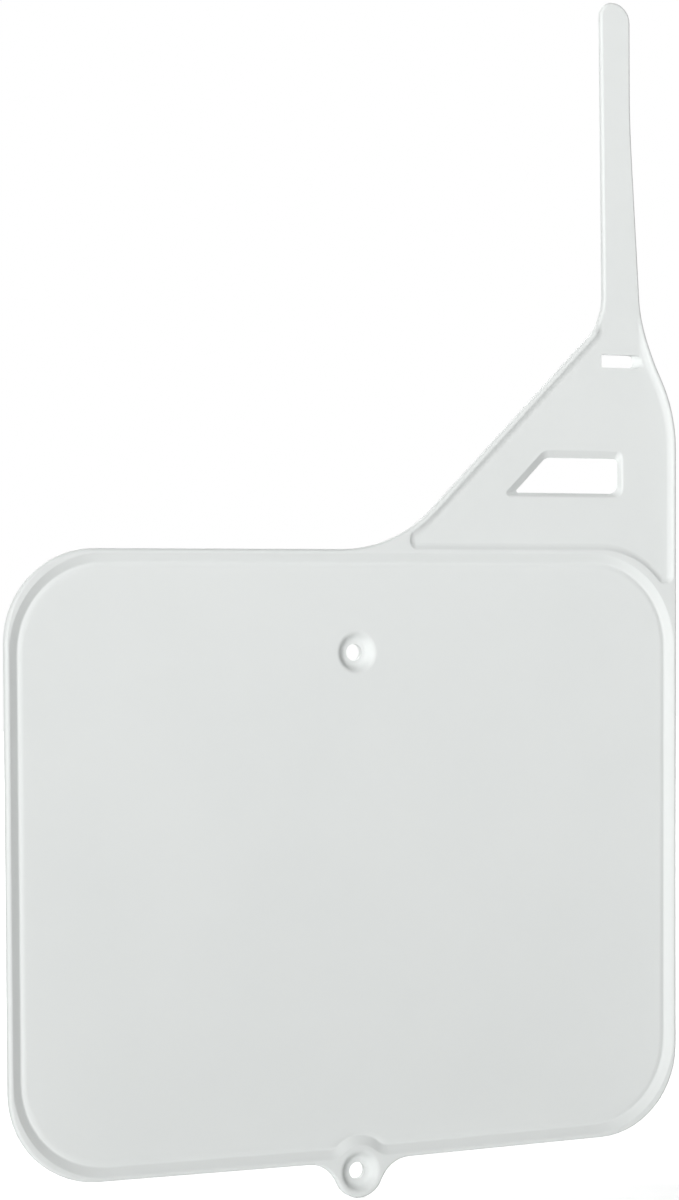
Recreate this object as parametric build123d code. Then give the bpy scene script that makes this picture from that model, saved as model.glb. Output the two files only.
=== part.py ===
from build123d import *

import os
from math import atan2, hypot, radians, sin, sqrt, tan

# Racing number board of a motorbike, moulded in one piece from one sheet of plastic: a tray-shaped
# board with two dished bolt seats, an arm with a window and a slot, and a strap that ties the arm down.
# Millimetres. It is drawn in the plane of the board, x to the right, y up and z towards the viewer,
# and stood up at the end: +Z up, front towards -Y. The origin is the centre of the upper bolt hole,
# at the back of its seat.

# Board
board_width_top = 285.5
board_width_bottom = 282.7
board_height = 235.9
bottom_rise = 1.2            # from the middle of the bottom edge up to its corners
corner_radius = 35.0
wall = 2.4                   # thickness of the moulded sheet

# Raised rim of the board
rim_height = 1.4             # from the panel up to the rim's crest
rim_land = 1.6               # crest, from the outer edge inwards
rim_slope_run = 3.4          # width of the sloped inner wall
rim_foot_radius = 1.2
panel_corner_radius = 33.5   # corners of the groove at the foot of the wall
groove_depth = 0.4           # shallow groove between the wall and the flat panel
groove_floor = 0.5           # its width at the bottom
groove_slope_run = 1.2       # from its bottom up to the panel
panel_edge_radius = 5.0
edge_radius = 1.2            # outer edge of the sheet and every crest, front side

# Bolt seats
upper_hole_drop = 39.8       # from the top edge down to the upper hole
lower_hole_drop = 3.9        # from the bottom edge down to the lower hole, 200 below the upper one
bolt_diameter = 6.0
bolt_clearance = 0.5         # on the diameter of the bolt holes
dish_mouth_diameter = 15.3
dish_floor_diameter = 10.3
dish_depth = 3.0
dish_shoulder_radius = 2.3
dish_floor_radius = 3.2
ear_land = 2.55              # from the mouth of the lower dish out to the edge of its ear
ear_blend_radius = 13.0
ring_blend_radius = 6.0      # where the ring round the lower hole meets the rim

# Arm, placed from the board's right edge
diagonal_inset = 126.45      # from the right edge to where the diagonal meets the top edge
diagonal_angle = 44.65
diagonal_blend_radius = 55.0
shoulder_rise = 55.8         # the arm's right shoulder above the top edge
shoulder_radius = 62.0
neck_rise = 85.8             # where the arm has narrowed to the strap, above the top edge
neck_radius = 78.0
arm_recess = 1.2             # from the rim's crest back to the arm's surface
arm_land = 1.65
arm_slope_run = 1.7
arm_foot_radius = 4.0
recess_end_width = 3.4       # the arm's recess ends where it has narrowed to this
recess_corner_radius = 1.4   # corners of those two narrow ends
fade_gap = 2.0               # the recess passes this far outside the strap's left edge
fade_radius = 5.0
fade_neck_radius = 45.0      # the recess's right edge, where it leaves the neck
fade_rise = 26.0             # height above the neck by which the right rim has faded out

# Strap
strap_inset_root = 32.95     # from the right edge to the strap's left edge, at its root
strap_inset_tip = 34.15      # and at its tip
strap_width_tip = 13.8
strap_width_neck = 17.5
strap_tip_rise = 219.9       # its end above the top edge
strap_taper_rise = 171.7     # below this height the strap widens
strap_taper_radius = 400.0
strap_root_radius = 22.0
strap_tip_radius = 5.6       # left corner of its end; the right one takes up the rest of its width
strap_tip_flat = 0.2
strap_tip_thickness = 1.8

# Slot that the strap's tip goes through
slot_inset = 34.25           # from the right edge to its left end
slot_width_clearance = 1.9   # beyond the width of the strap's tip
slot_height_clearance = 2.8  # beyond the thickness of the sheet
slot_rise = 75.8             # its middle above the top edge
slot_ramp = 2.8              # lead-in at its right end
slot_corner_radius = 0.5
slot_end_flat = 0.2          # between the two rounded corners of its right end

# Window in the arm, with a bevel that narrows it towards the back
window_inset_left = 79.2     # from the right edge to its sharp lower left corner
window_inset_right = 24.95   # and to its right end
window_bottom_rise = 21.3
window_top_rise = 39.7
window_bevel_diagonal = 3.5
window_bevel_top = 3.0
window_bevel_right = 0.9
window_bevel_bottom = 1.4
window_front_radii = (1.0, 6.0, 2.5, 3.0)
window_back_radii = (0.7, 4.0, 2.0, 4.0)
window_edge_radius = 1.2     # where the bevel meets the arm's surface

# How far a cutting shape runs past what it cuts
cut_margin = 6.0
mouth_margin = 0.5
depth_margin = 0.2           # as a share of the wall
match = 0.01                 # how near an edge lies to count as on the outline

# Heights above the back of the upper seat
panel_level = wall + dish_depth
groove_level = panel_level - groove_depth
crest_level = panel_level + rim_height
arm_level = crest_level - arm_recess

# Places in the plane of the board
top = upper_hole_drop
bottom = top - board_height
corner_y = bottom + bottom_rise
half_top = board_width_top / 2
half_bottom = board_width_bottom / 2
shoulder_y = top + shoulder_rise
neck_y = top + neck_rise
tip_y = top + strap_tip_rise
diagonal_start = half_top - diagonal_inset
strap_left_root = half_top - strap_inset_root
strap_left_tip = half_top - strap_inset_tip
strap_right_tip = strap_left_tip + strap_width_tip
strap_right_neck = strap_left_root + strap_width_neck
rise_per_x = tan(radians(diagonal_angle))
x_per_bevel = 1 / sin(radians(diagonal_angle))
lower_hole = Pos(0, bottom - lower_hole_drop)
ear_radius = dish_mouth_diameter / 2 + ear_land
seats = ((Pos(0, 0), panel_level), (lower_hole, crest_level))

# The right edge runs straight from the arm's shoulder down to the bottom corner
right_lean = (half_top - half_bottom) / (shoulder_y - corner_y)
lean_length = hypot(1, right_lean)
board_right = half_bottom + right_lean * (top - corner_y)

# Corners of the outline, clockwise, each with its radius
left_top = ((-half_top, top), corner_radius)
right_top = ((board_right, top), corner_radius)
right_bottom = ((half_bottom, corner_y), corner_radius)
bottom_middle = ((0, bottom), 0)
left_bottom = ((-half_bottom, corner_y), corner_radius)
diagonal_foot = ((diagonal_start, top), diagonal_blend_radius)
strap_root = ((strap_left_root, top + (strap_left_root - diagonal_start) * rise_per_x), strap_root_radius)
tip_left = ((strap_left_tip, tip_y), strap_tip_radius)
tip_right = ((strap_right_tip, tip_y), strap_width_tip - strap_tip_flat - strap_tip_radius)
strap_taper = ((strap_right_tip, top + strap_taper_rise), strap_taper_radius)
neck = ((strap_right_neck, top + neck_rise), neck_radius)
shoulder = ((half_top, shoulder_y), shoulder_radius)
board_corners = [left_top, right_top, right_bottom, bottom_middle, left_bottom]
outline_corners = [left_top, diagonal_foot, strap_root, tip_left, tip_right, strap_taper, neck, shoulder,
                   right_bottom, bottom_middle, left_bottom]


def rounded_face(corners):
    points = [point for point, radius in corners]
    radii = [radius for point, radius in corners]
    return make_face(FilletPolyline(*points, radius=radii, close=True))


def grown(corners, amount):
    # A clockwise outline with all its edges and arcs moved outwards by the same amount
    moved = []
    for index, (point, radius) in enumerate(corners):
        before = Vector(*corners[index - 1][0])
        here = Vector(*point)
        after = Vector(*corners[(index + 1) % len(corners)][0])
        arriving = (here - before).normalized()
        leaving = (after - here).normalized()
        across = (arriving + leaving) * (amount / (1 + arriving.dot(leaving)))
        convex = arriving.cross(leaving).Z < 0
        new_radius = radius + (amount if convex else -amount) if radius else 0
        moved.append(((here.X - across.Y, here.Y + across.X), new_radius))
    return moved


def nearest_corners(face, *points):
    return [face.vertices().sort_by_distance((x, y, 0))[0] for x, y in points]


def whole_outline(margin=0):
    face = rounded_face(grown(outline_corners, margin)) + lower_hole * Circle(ear_radius + margin)
    ear_joins = nearest_corners(face, (-ear_radius, bottom), (ear_radius, bottom))
    return fillet(ear_joins, ear_blend_radius - margin)


def panel_outline(grow):
    # The flat panel inside the rim, with the ring of the lower seat cut out of its bottom edge
    inset = rim_land + rim_slope_run
    floor = [(point, panel_corner_radius if radius else 0) for point, radius in grown(board_corners, -inset)]
    ring_radius = ear_radius + rim_slope_run - grow
    face = rounded_face(grown(floor, grow)) - lower_hole * Circle(ring_radius)
    ring_joins = nearest_corners(face, (-ring_radius, bottom), (ring_radius, bottom))
    return fillet(ring_joins, ring_blend_radius + grow)


def recess_lower_end():
    # Where the arm's recess, between the board's corner and the right edge, has narrowed to its end width
    inset = arm_land + arm_slope_run
    arc_radius = corner_radius + arm_slope_run
    reach = (corner_radius - inset) * lean_length - recess_end_width
    middle = -reach * right_lean / lean_length ** 2
    rise = middle + sqrt(middle ** 2 + (arc_radius ** 2 - reach ** 2) / lean_length ** 2)
    height = top - corner_radius + rise
    return height, board_right - right_lean * (top - height) - inset * lean_length


def arm_outline(grow):
    # The arm's recessed surface: it runs out through the strap's edges, where the rims fade away
    inner = dict(zip(outline_corners, grown(outline_corners, -arm_land - arm_slope_run)))
    foot_point, foot_radius = inner[diagonal_foot]
    neck_point = inner[neck][0]
    above = tip_y + cut_margin
    below, below_right = recess_lower_end()
    fade_left = strap_left_root - fade_gap
    fade_right = strap_right_neck + fade_gap
    fade_start = (fade_left, foot_point[1] + (fade_left - foot_point[0]) * rise_per_x)
    outline = rounded_face(grown([
        ((-corner_radius, foot_point[1]), 0),
        (foot_point, foot_radius),
        (fade_start, fade_radius),
        ((fade_left, above), fade_radius),
        ((fade_right, above), fade_radius),
        ((fade_right, neck_y + fade_rise), fade_radius),
        (neck_point, fade_neck_radius),
        inner[shoulder],
        ((below_right, below), 0),
        ((-corner_radius, below), 0),
    ], grow))
    outline -= rounded_face(grown(board_corners, arm_slope_run - grow))
    blend_rise = top + arm_slope_run + recess_end_width - foot_point[1]
    blend_start = foot_point[0] - foot_radius * tan(radians(diagonal_angle) / 2)
    left_end = blend_start + sqrt(blend_rise * (2 * foot_radius - blend_rise))
    face = split(outline, Plane.YZ.offset(left_end - grow), keep=Keep.TOP)
    narrow_ends = face.vertices().sort_by(Axis.X)[:2] + face.vertices().sort_by(Axis.Y)[:2]
    return fillet(narrow_ends, recess_corner_radius + grow)


def panel_pad():
    # The flat panel, which stands up from the groove round it
    base = Pos(0, 0, groove_level - depth_margin * wall) * panel_outline(-groove_floor)
    foot = Pos(0, 0, groove_level) * panel_outline(-groove_floor)
    face = Pos(0, 0, panel_level) * panel_outline(-groove_floor - groove_slope_run)
    pad = loft([foot, face], ruled=True)
    pad = fillet(pad.faces().sort_by(Axis.Z)[-1].edges(), panel_edge_radius)
    return pad + loft([base, foot], ruled=True)


def dish_outline(grow):
    return Circle(dish_floor_diameter / 2 + grow)


def tapered_cutter(outline_at, grow, level, run, height, foot_radius):
    # A flat floor with walls that lean outwards, rounded at their foot
    depth = height + mouth_margin
    floor = Pos(0, 0, level) * outline_at(grow)
    mouth = Pos(0, 0, level + depth) * outline_at(grow + run * depth / height)
    cutter = loft([floor, mouth], ruled=True)
    return fillet(cutter.faces().sort_by(Axis.Z)[0].edges(), foot_radius)


def wall_shift(run, height):
    # How far a slope moves sideways where the sheet's back follows its front at one wall's distance
    return wall * tan(atan2(height, run) / 2)


def moulding_block(inside):
    # The front surface of the sheet on a block or, inside it, the back surface, one wall further back
    sink = wall if inside else 0
    rim_wall = rim_height + groove_depth
    dish_run = (dish_mouth_diameter - dish_floor_diameter) / 2
    arm_shift = wall_shift(arm_slope_run, arm_recess) if inside else 0
    dish_shift = wall_shift(dish_run, dish_depth) if inside else 0
    outline = whole_outline(cut_margin if inside else 0)
    block = extrude(Pos(0, 0, -cut_margin) * outline, crest_level - sink + cut_margin, dir=(0, 0, 1))
    if inside:
        rim_shift = wall_shift(rim_slope_run, rim_wall) + rim_slope_run * groove_depth / rim_wall
        block -= tapered_cutter(panel_outline, rim_shift, panel_level - sink,
                                rim_slope_run, rim_wall, rim_foot_radius + sink)
    else:
        block -= tapered_cutter(panel_outline, 0, groove_level, rim_slope_run, rim_wall, rim_foot_radius)
        block += panel_pad()
    block -= tapered_cutter(arm_outline, arm_shift, arm_level - sink,
                            arm_slope_run, arm_recess, arm_foot_radius + sink)
    for seat, mouth_level in seats:
        block -= seat * tapered_cutter(dish_outline, dish_shift, mouth_level - dish_depth - sink,
                                       dish_run, dish_depth, dish_floor_radius + sink)
    return block


def rounded_front():
    # The front block with its crests, the mouths of its dishes and its outer edge rounded
    outer_wire = whole_outline().face().outer_wire()

    def on_outer_edge(edge):
        middle = edge @ 0.5
        return outer_wire.distance_to(Vector(middle.X, middle.Y, 0)) < match

    def is_dish_mouth(edge):
        round_edge = edge.geom_type == GeomType.CIRCLE and edge.is_closed
        return round_edge and abs(edge.radius - dish_mouth_diameter / 2) < match

    block = moulding_block(inside=False)
    crest = block.faces().filter_by(Axis.Z).sort_by(Axis.Z)[-1]
    crest_edges = [edge for edge in crest.edges() if not on_outer_edge(edge) and not is_dish_mouth(edge)]
    block = fillet(crest_edges, edge_radius)
    block = fillet([edge for edge in block.edges() if is_dish_mouth(edge)], dish_shoulder_radius)
    front_edges = block.edges().filter_by_position(Axis.Z, panel_level, crest_level)
    return fillet([edge for edge in front_edges if on_outer_edge(edge)], edge_radius)


def lofted_cutter(outline_at):
    # Through the arm's sheet: outline_at gives the opening at a share of the wall, 0 in front, 1 behind
    shares = (-depth_margin, 1 + depth_margin)
    return loft([Pos(0, 0, arm_level - wall * share) * outline_at(share) for share in shares], ruled=True)


def window_outline(share):
    low = top + window_bottom_rise + window_bevel_bottom * share
    high = top + window_top_rise - window_bevel_top * share
    right = half_top - window_inset_right - window_bevel_right * share
    foot_x = half_top - window_inset_left + window_bevel_diagonal * x_per_bevel * share
    left_low = foot_x + window_bevel_bottom * share / rise_per_x
    left_high = left_low + (high - low) / rise_per_x
    corners = [(left_low, low), (left_high, high), (right, high), (right, low)]
    radii = [front + (back - front) * share for front, back in zip(window_front_radii, window_back_radii)]
    return rounded_face(list(zip(corners, radii)))


def window_front_edges(board):
    # Where the window's bevel meets the arm's surface
    front_wire = (Pos(0, 0, arm_level) * window_outline(0)).face().outer_wire()
    return [edge for edge in board.edges() if front_wire.distance_to(edge @ 0.5) < match]


def slot_outline(share):
    height = wall + slot_height_clearance
    low = top + slot_rise - height / 2
    high = low + height
    left = half_top - slot_inset
    right = left + strap_width_tip + slot_width_clearance + slot_ramp * (1 - share)
    end_radius = (height - slot_end_flat) / 2
    return rounded_face([
        ((left, low), slot_corner_radius),
        ((left, high), slot_corner_radius),
        ((right, high), end_radius),
        ((right, low), end_radius),
    ])


def strap_thinning():
    # A wedge off the strap's back, from nothing at the neck to the tip's thickness
    back_level = arm_level - wall
    profile = make_face(Polyline(
        (neck_y, back_level),
        (tip_y, arm_level - strap_tip_thickness),
        (tip_y + cut_margin, arm_level - strap_tip_thickness),
        (tip_y + cut_margin, back_level - cut_margin),
        (neck_y, back_level - cut_margin),
        close=True,
    ))
    return extrude(Plane.YZ * profile, board_width_top)


def number_board():
    board = rounded_front() - moulding_block(inside=True)
    board -= strap_thinning()
    board -= lofted_cutter(window_outline)
    board = fillet(window_front_edges(board), window_edge_radius)
    board -= lofted_cutter(slot_outline)
    for seat, mouth_level in seats:
        board -= seat * Cylinder((bolt_diameter + bolt_clearance) / 2, 2 * mouth_level)
    return Plane.XZ * board


os.makedirs("parts", exist_ok=True)
export_step(number_board().solid(), "parts/number_board.step")
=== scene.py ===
import bpy
import math
import numpy as np
from mathutils import Matrix, Vector


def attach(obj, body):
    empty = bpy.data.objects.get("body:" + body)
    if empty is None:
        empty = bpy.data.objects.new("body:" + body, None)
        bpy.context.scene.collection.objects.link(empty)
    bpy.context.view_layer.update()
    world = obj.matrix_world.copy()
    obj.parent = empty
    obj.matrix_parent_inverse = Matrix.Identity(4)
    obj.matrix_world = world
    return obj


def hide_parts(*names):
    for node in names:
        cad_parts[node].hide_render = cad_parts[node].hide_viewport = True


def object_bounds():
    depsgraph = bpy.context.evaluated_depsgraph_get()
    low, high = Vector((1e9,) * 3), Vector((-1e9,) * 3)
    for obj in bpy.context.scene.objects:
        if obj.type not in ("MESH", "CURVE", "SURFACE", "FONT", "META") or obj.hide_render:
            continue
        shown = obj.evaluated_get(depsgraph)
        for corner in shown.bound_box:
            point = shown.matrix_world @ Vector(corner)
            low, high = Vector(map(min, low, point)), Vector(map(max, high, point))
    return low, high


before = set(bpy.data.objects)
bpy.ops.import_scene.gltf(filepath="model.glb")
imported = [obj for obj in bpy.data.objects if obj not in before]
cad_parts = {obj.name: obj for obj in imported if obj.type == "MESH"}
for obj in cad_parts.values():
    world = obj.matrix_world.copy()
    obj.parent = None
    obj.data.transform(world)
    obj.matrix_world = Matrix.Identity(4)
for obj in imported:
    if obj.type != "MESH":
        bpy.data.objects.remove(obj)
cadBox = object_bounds()
print("frame: box", [round(v, 4) for corner in cadBox for v in corner])


class Wire:
    # one shader socket that takes part in sums like a number: each sum adds a Math node
    def __init__(self, tree, socket=None):
        self.tree, self.socket = tree, socket

    def node(self, kind, settings=None, inputs=None, out=0):
        # a node of that kind: its settings first, then values or links for its sockets
        made = self.tree.nodes.new("ShaderNode" + kind)
        for name, value in (settings or {}).items():
            setattr(made, name, value)
        for name, value in (inputs or {}).items():
            if isinstance(value, Wire):
                self.tree.links.new(value.socket, made.inputs[name])
            else:
                made.inputs[name].default_value = value
        return Wire(self.tree, made.outputs[out] if made.outputs else None)

    def maths(self, operation, first, second):
        return self.node("Math", {"operation": operation}, {0: first, 1: second})

    def __add__(self, other):
        return self.maths("ADD", self, other)

    def __sub__(self, other):
        return self.maths("SUBTRACT", self, other)

    def __rsub__(self, other):
        return self.maths("SUBTRACT", other, self)

    def __mul__(self, other):
        return self.maths("MULTIPLY", self, other)

    __radd__ = __add__
    __rmul__ = __mul__


def emptyTree(owner):
    owner.use_nodes = True
    owner.node_tree.nodes.clear()
    return Wire(owner.node_tree)


# white moulded polypropylene
plastic = {
    "colour": (0.745, 0.765, 0.755, 1),    # pale, a touch cool
    "shade": (0.715, 0.738, 0.730, 1),     # where the melt cooled unevenly
    "mottleSize": 0.060,                   # m, soft clouds of colour
    "mottleDetail": 2.0,
    "roughness": 0.54,
    "noiseMean": 0.5,                      # where a noise leaves the roughness as it is
    "mottleRoughness": 0.10,               # how far the clouds move it
    "grainRoughness": 0.08,                # and how far the grain does
    "gloss": 0.15,                         # share of the mirror light: 0.5 is all that the refraction gives
    "refraction": 1.49,
    "grainSize": 0.00045,                  # m, fine skin of the mould
    "grainDetail": 1.0,
    "grainDepth": 0.000006,                # m
    "swellSize": 0.075,                    # m, faint waves of a thin sheet
    "swellDetail": 0.0,
    "swellDepth": 0.00012,                 # m
}


def plasticMaterial():
    material = bpy.data.materials.new("whiteMouldedPlastic")
    tree = emptyTree(material)
    place = tree.node("TexCoord", out="Object")

    def noise(name):
        return tree.node("TexNoise", inputs={
            "Vector": place, "Scale": 1 / plastic[name + "Size"], "Detail": plastic[name + "Detail"]})

    clouds = noise("mottle")
    grain = noise("grain")
    swell = noise("swell")
    colour = tree.node("Mix", {"data_type": "RGBA"},
                       {"Factor": clouds, "A": plastic["colour"], "B": plastic["shade"]}, out="Result")
    cloudy = (clouds - plastic["noiseMean"]) * plastic["mottleRoughness"]
    grainy = (grain - plastic["noiseMean"]) * plastic["grainRoughness"]
    roughness = plastic["roughness"] + (cloudy + grainy)
    waves = tree.node("Bump", inputs={"Height": swell, "Distance": plastic["swellDepth"]})
    skin = tree.node("Bump", inputs={"Height": grain, "Distance": plastic["grainDepth"], "Normal": waves})
    surface = tree.node("BsdfPrincipled", inputs={
        "Base Color": colour, "Roughness": roughness, "Normal": skin,
        "IOR": plastic["refraction"], "Specular IOR Level": plastic["gloss"]})
    tree.node("OutputMaterial", inputs={"Surface": surface})
    return material


# the board's skin: the CAD solid's own surface with its facets shaded as the curves they stand for
boardSkin = {
    "weld": 0.000002,     # m, corners that round to the same multiple of this are one corner
    "crease": 50.0,       # degrees, a sharper turn than this stays a crisp edge
    "sliver": 1e-12,      # square metres, a triangle of half this area or less is dropped
}


def cornerNormals(points, triangles, crease):
    # each corner's normal is the mean of the faces that meet at its vertex, weighted by their areas,
    # leaving out those that turn from the corner's own face by more than the crease angle
    a, b, c = (points[triangles[:, k]] for k in range(3))
    areaNormal = np.cross(b - a, c - a)
    unit = areaNormal / np.linalg.norm(areaNormal, axis=1, keepdims=True)
    # pair each corner (mine) with all the corners at its vertex (other): corner // 3 is its triangle
    vertex = triangles.ravel()
    order = np.argsort(vertex, kind="stable")
    counts = np.bincount(vertex, minlength=len(points))
    starts = np.cumsum(counts) - counts
    reach = counts[vertex]
    mine = np.repeat(np.arange(len(vertex)), reach)
    step = np.arange(len(mine)) - np.repeat(np.cumsum(reach) - reach, reach)
    other = order[starts[vertex[mine]] + step]
    near = (unit[mine // 3] * unit[other // 3]).sum(1) > math.cos(math.radians(crease))
    mine, other = mine[near], other[near]
    total = np.stack([np.bincount(mine, areaNormal[other // 3, k], len(vertex)) for k in range(3)], axis=1)
    return total / np.linalg.norm(total, axis=1, keepdims=True)


def skinOf(node, name):
    source = node.data
    points = np.empty(len(source.vertices) * 3, np.float32)
    source.vertices.foreach_get("co", points)
    source.calc_loop_triangles()
    triangles = np.empty(len(source.loop_triangles) * 3, np.int32)
    source.loop_triangles.foreach_get("vertices", triangles)
    points = points.reshape(-1, 3).astype(float)
    # weld: corners that round to the same place share one vertex, and what has shrunk to nothing goes
    first, shared = np.unique(np.round(points / boardSkin["weld"]).astype(np.int64), axis=0,
                              return_index=True, return_inverse=True)[1:]
    points = points[first]
    triangles = shared.reshape(-1)[triangles].reshape(-1, 3)
    edges = points[triangles[:, [1, 2]]] - points[triangles[:, [0]]]
    doubleArea = np.linalg.norm(np.cross(edges[:, 0], edges[:, 1]), axis=1)
    triangles = triangles[doubleArea > boardSkin["sliver"]]
    mesh = bpy.data.meshes.new(name)
    mesh.from_pydata(points, [], triangles)
    mesh.polygons.foreach_set("use_smooth", np.ones(len(triangles), bool))
    mesh.normals_split_custom_set(cornerNormals(points, triangles, boardSkin["crease"]))
    piece = bpy.data.objects.new(name, mesh)
    bpy.context.scene.collection.objects.link(piece)
    print(name, len(points), "vertices", len(triangles), "triangles")
    return piece


board = skinOf(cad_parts["number_board"], "numberBoardSkin")
board.data.materials.append(plasticMaterial())
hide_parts("number_board")
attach(board, "root")
print("board skin ready")


# studio: pale floor under the board, white surroundings, soft lamps from the left, in front and behind
studio = {
    "floorColour": (0.86, 0.86, 0.86, 1),
    "floorHalf": 4.0,          # m, half a side of the square
    "floorGlow": 0.58,         # white added to the floor at the board, where it is seen or mirrored
    "floorFade": 1.2,          # m from the board to where that white is full
    "surroundColour": (1, 1, 1, 1),
    "surround": 0.02,          # strength of the light all round
    # lamps: degrees from straight in front (minus is left), degrees above level, m away, m wide, W
    "lamps": {
        "leftLight": (-45.0, 0.0, 12.0, 4.0, 1850.0),
        "leftHighLight": (-40.0, 45.0, 7.0, 2.6, 46.0),
        "frontLight": (6.0, 5.0, 1.8, 0.6, 5.8),
        "topBackLight": (180.0, 45.0, 3.0, 2.0, 70.0),
    },
}


def seenDirectly(tree):
    # 1 for rays from the camera, and for mirrored and transmitted ones
    camera, mirrored, transmitted = (tree.node("LightPath", out=f"Is {ray} Ray")
                                     for ray in ("Camera", "Glossy", "Transmission"))
    return tree.maths("MINIMUM", camera + mirrored + transmitted, 1.0)


def floorUnder(lowest):
    # a flat square, one quad, with white added for what the camera sees so that only shadow shows on it:
    # the white grows in step with the distance from the board's origin until it is full
    spread = np.array([(-1, -1), (1, -1), (1, 1), (-1, 1)]) * studio["floorHalf"]
    corners = np.column_stack([spread, np.full(len(spread), lowest)])
    mesh = bpy.data.meshes.new("studioFloor")
    mesh.from_pydata(corners, [], [range(len(corners))])
    floor = bpy.data.objects.new("studioFloor", mesh)
    bpy.context.scene.collection.objects.link(floor)
    material = bpy.data.materials.new("studioFloor")
    tree = emptyTree(material)
    matt = tree.node("BsdfDiffuse", inputs={"Color": studio["floorColour"]})
    place = tree.node("TexCoord", out="Object")
    away = tree.node("VectorMath", {"operation": "LENGTH"}, {0: place}, out="Value")
    fade = tree.maths("MINIMUM", away * (1 / studio["floorFade"]), 1.0)
    white = studio["floorGlow"] + fade * (1 - studio["floorGlow"])
    glow = tree.node("Emission", inputs={"Color": seenDirectly(tree) * white})
    tree.node("OutputMaterial", inputs={"Surface": tree.node("AddShader", inputs={0: matt, 1: glow})})
    mesh.materials.append(material)


def softLight(name, side, rise, distance, size, power):
    # a square lamp on a sphere round the middle of the board, facing it
    middle = (cadBox[0] + cadBox[1]) / 2
    turn, lift = math.radians(side), math.radians(rise)
    out = Vector((math.sin(turn) * math.cos(lift), -math.cos(turn) * math.cos(lift), math.sin(lift)))
    lamp = bpy.data.lights.new(name, "AREA")
    lamp.shape, lamp.size, lamp.energy = "SQUARE", size, power
    holder = bpy.data.objects.new(name, lamp)
    holder.location = middle + out * distance
    holder.rotation_euler = out.to_track_quat("Z", "Y").to_euler()
    holder.visible_camera = False
    bpy.context.scene.collection.objects.link(holder)


def surroundings():
    # white where it is seen or mirrored, but a faint light on the board
    world = bpy.data.worlds.new("whiteSurroundings")
    bpy.context.scene.world = world
    tree = emptyTree(world)
    backdrop = tree.node("Background", inputs={
        "Color": studio["surroundColour"],
        "Strength": studio["surround"] + seenDirectly(tree) * (1 - studio["surround"])})
    tree.node("OutputWorld", inputs={"Surface": backdrop})


floorUnder(cadBox[0].z)
for name, settings in studio["lamps"].items():
    softLight(name, *settings)
surroundings()
print("studio ready")


# camera: level, to the left of straight in front, with a trace of roll
shot = {
    "target": (-0.00713, -0.0049, 0.02021),   # m, the point in the middle of the picture
    "distance": 1.154,                        # m
    "side": 24.69,                            # degrees to the left
    "roll": 0.21,                             # degrees
    "lens": 90.0,                             # mm
    "sensor": 36.0,                           # mm, the width that the lens is for
}


def aimCamera():
    yaw, roll = math.radians(shot["side"]), math.radians(shot["roll"])
    forward = Vector((math.sin(yaw), math.cos(yaw), 0))
    level = Vector((math.cos(yaw), -math.sin(yaw), 0))
    up = Vector((0, 0, 1))
    across = level * math.cos(roll) - up * math.sin(roll)
    above = level * math.sin(roll) + up * math.cos(roll)
    turn = Matrix((across, above, -forward)).transposed()
    place = Vector(shot["target"]) - forward * shot["distance"]
    data = bpy.data.cameras.new("boardCamera")
    data.lens, data.sensor_width = shot["lens"], shot["sensor"]
    camera = bpy.data.objects.new("boardCamera", data)
    camera.matrix_world = Matrix.LocRotScale(place, turn, None)
    bpy.context.scene.collection.objects.link(camera)
    bpy.context.scene.camera = camera


aimCamera()
bpy.context.scene.view_settings.view_transform = "Standard"
print("camera ready")
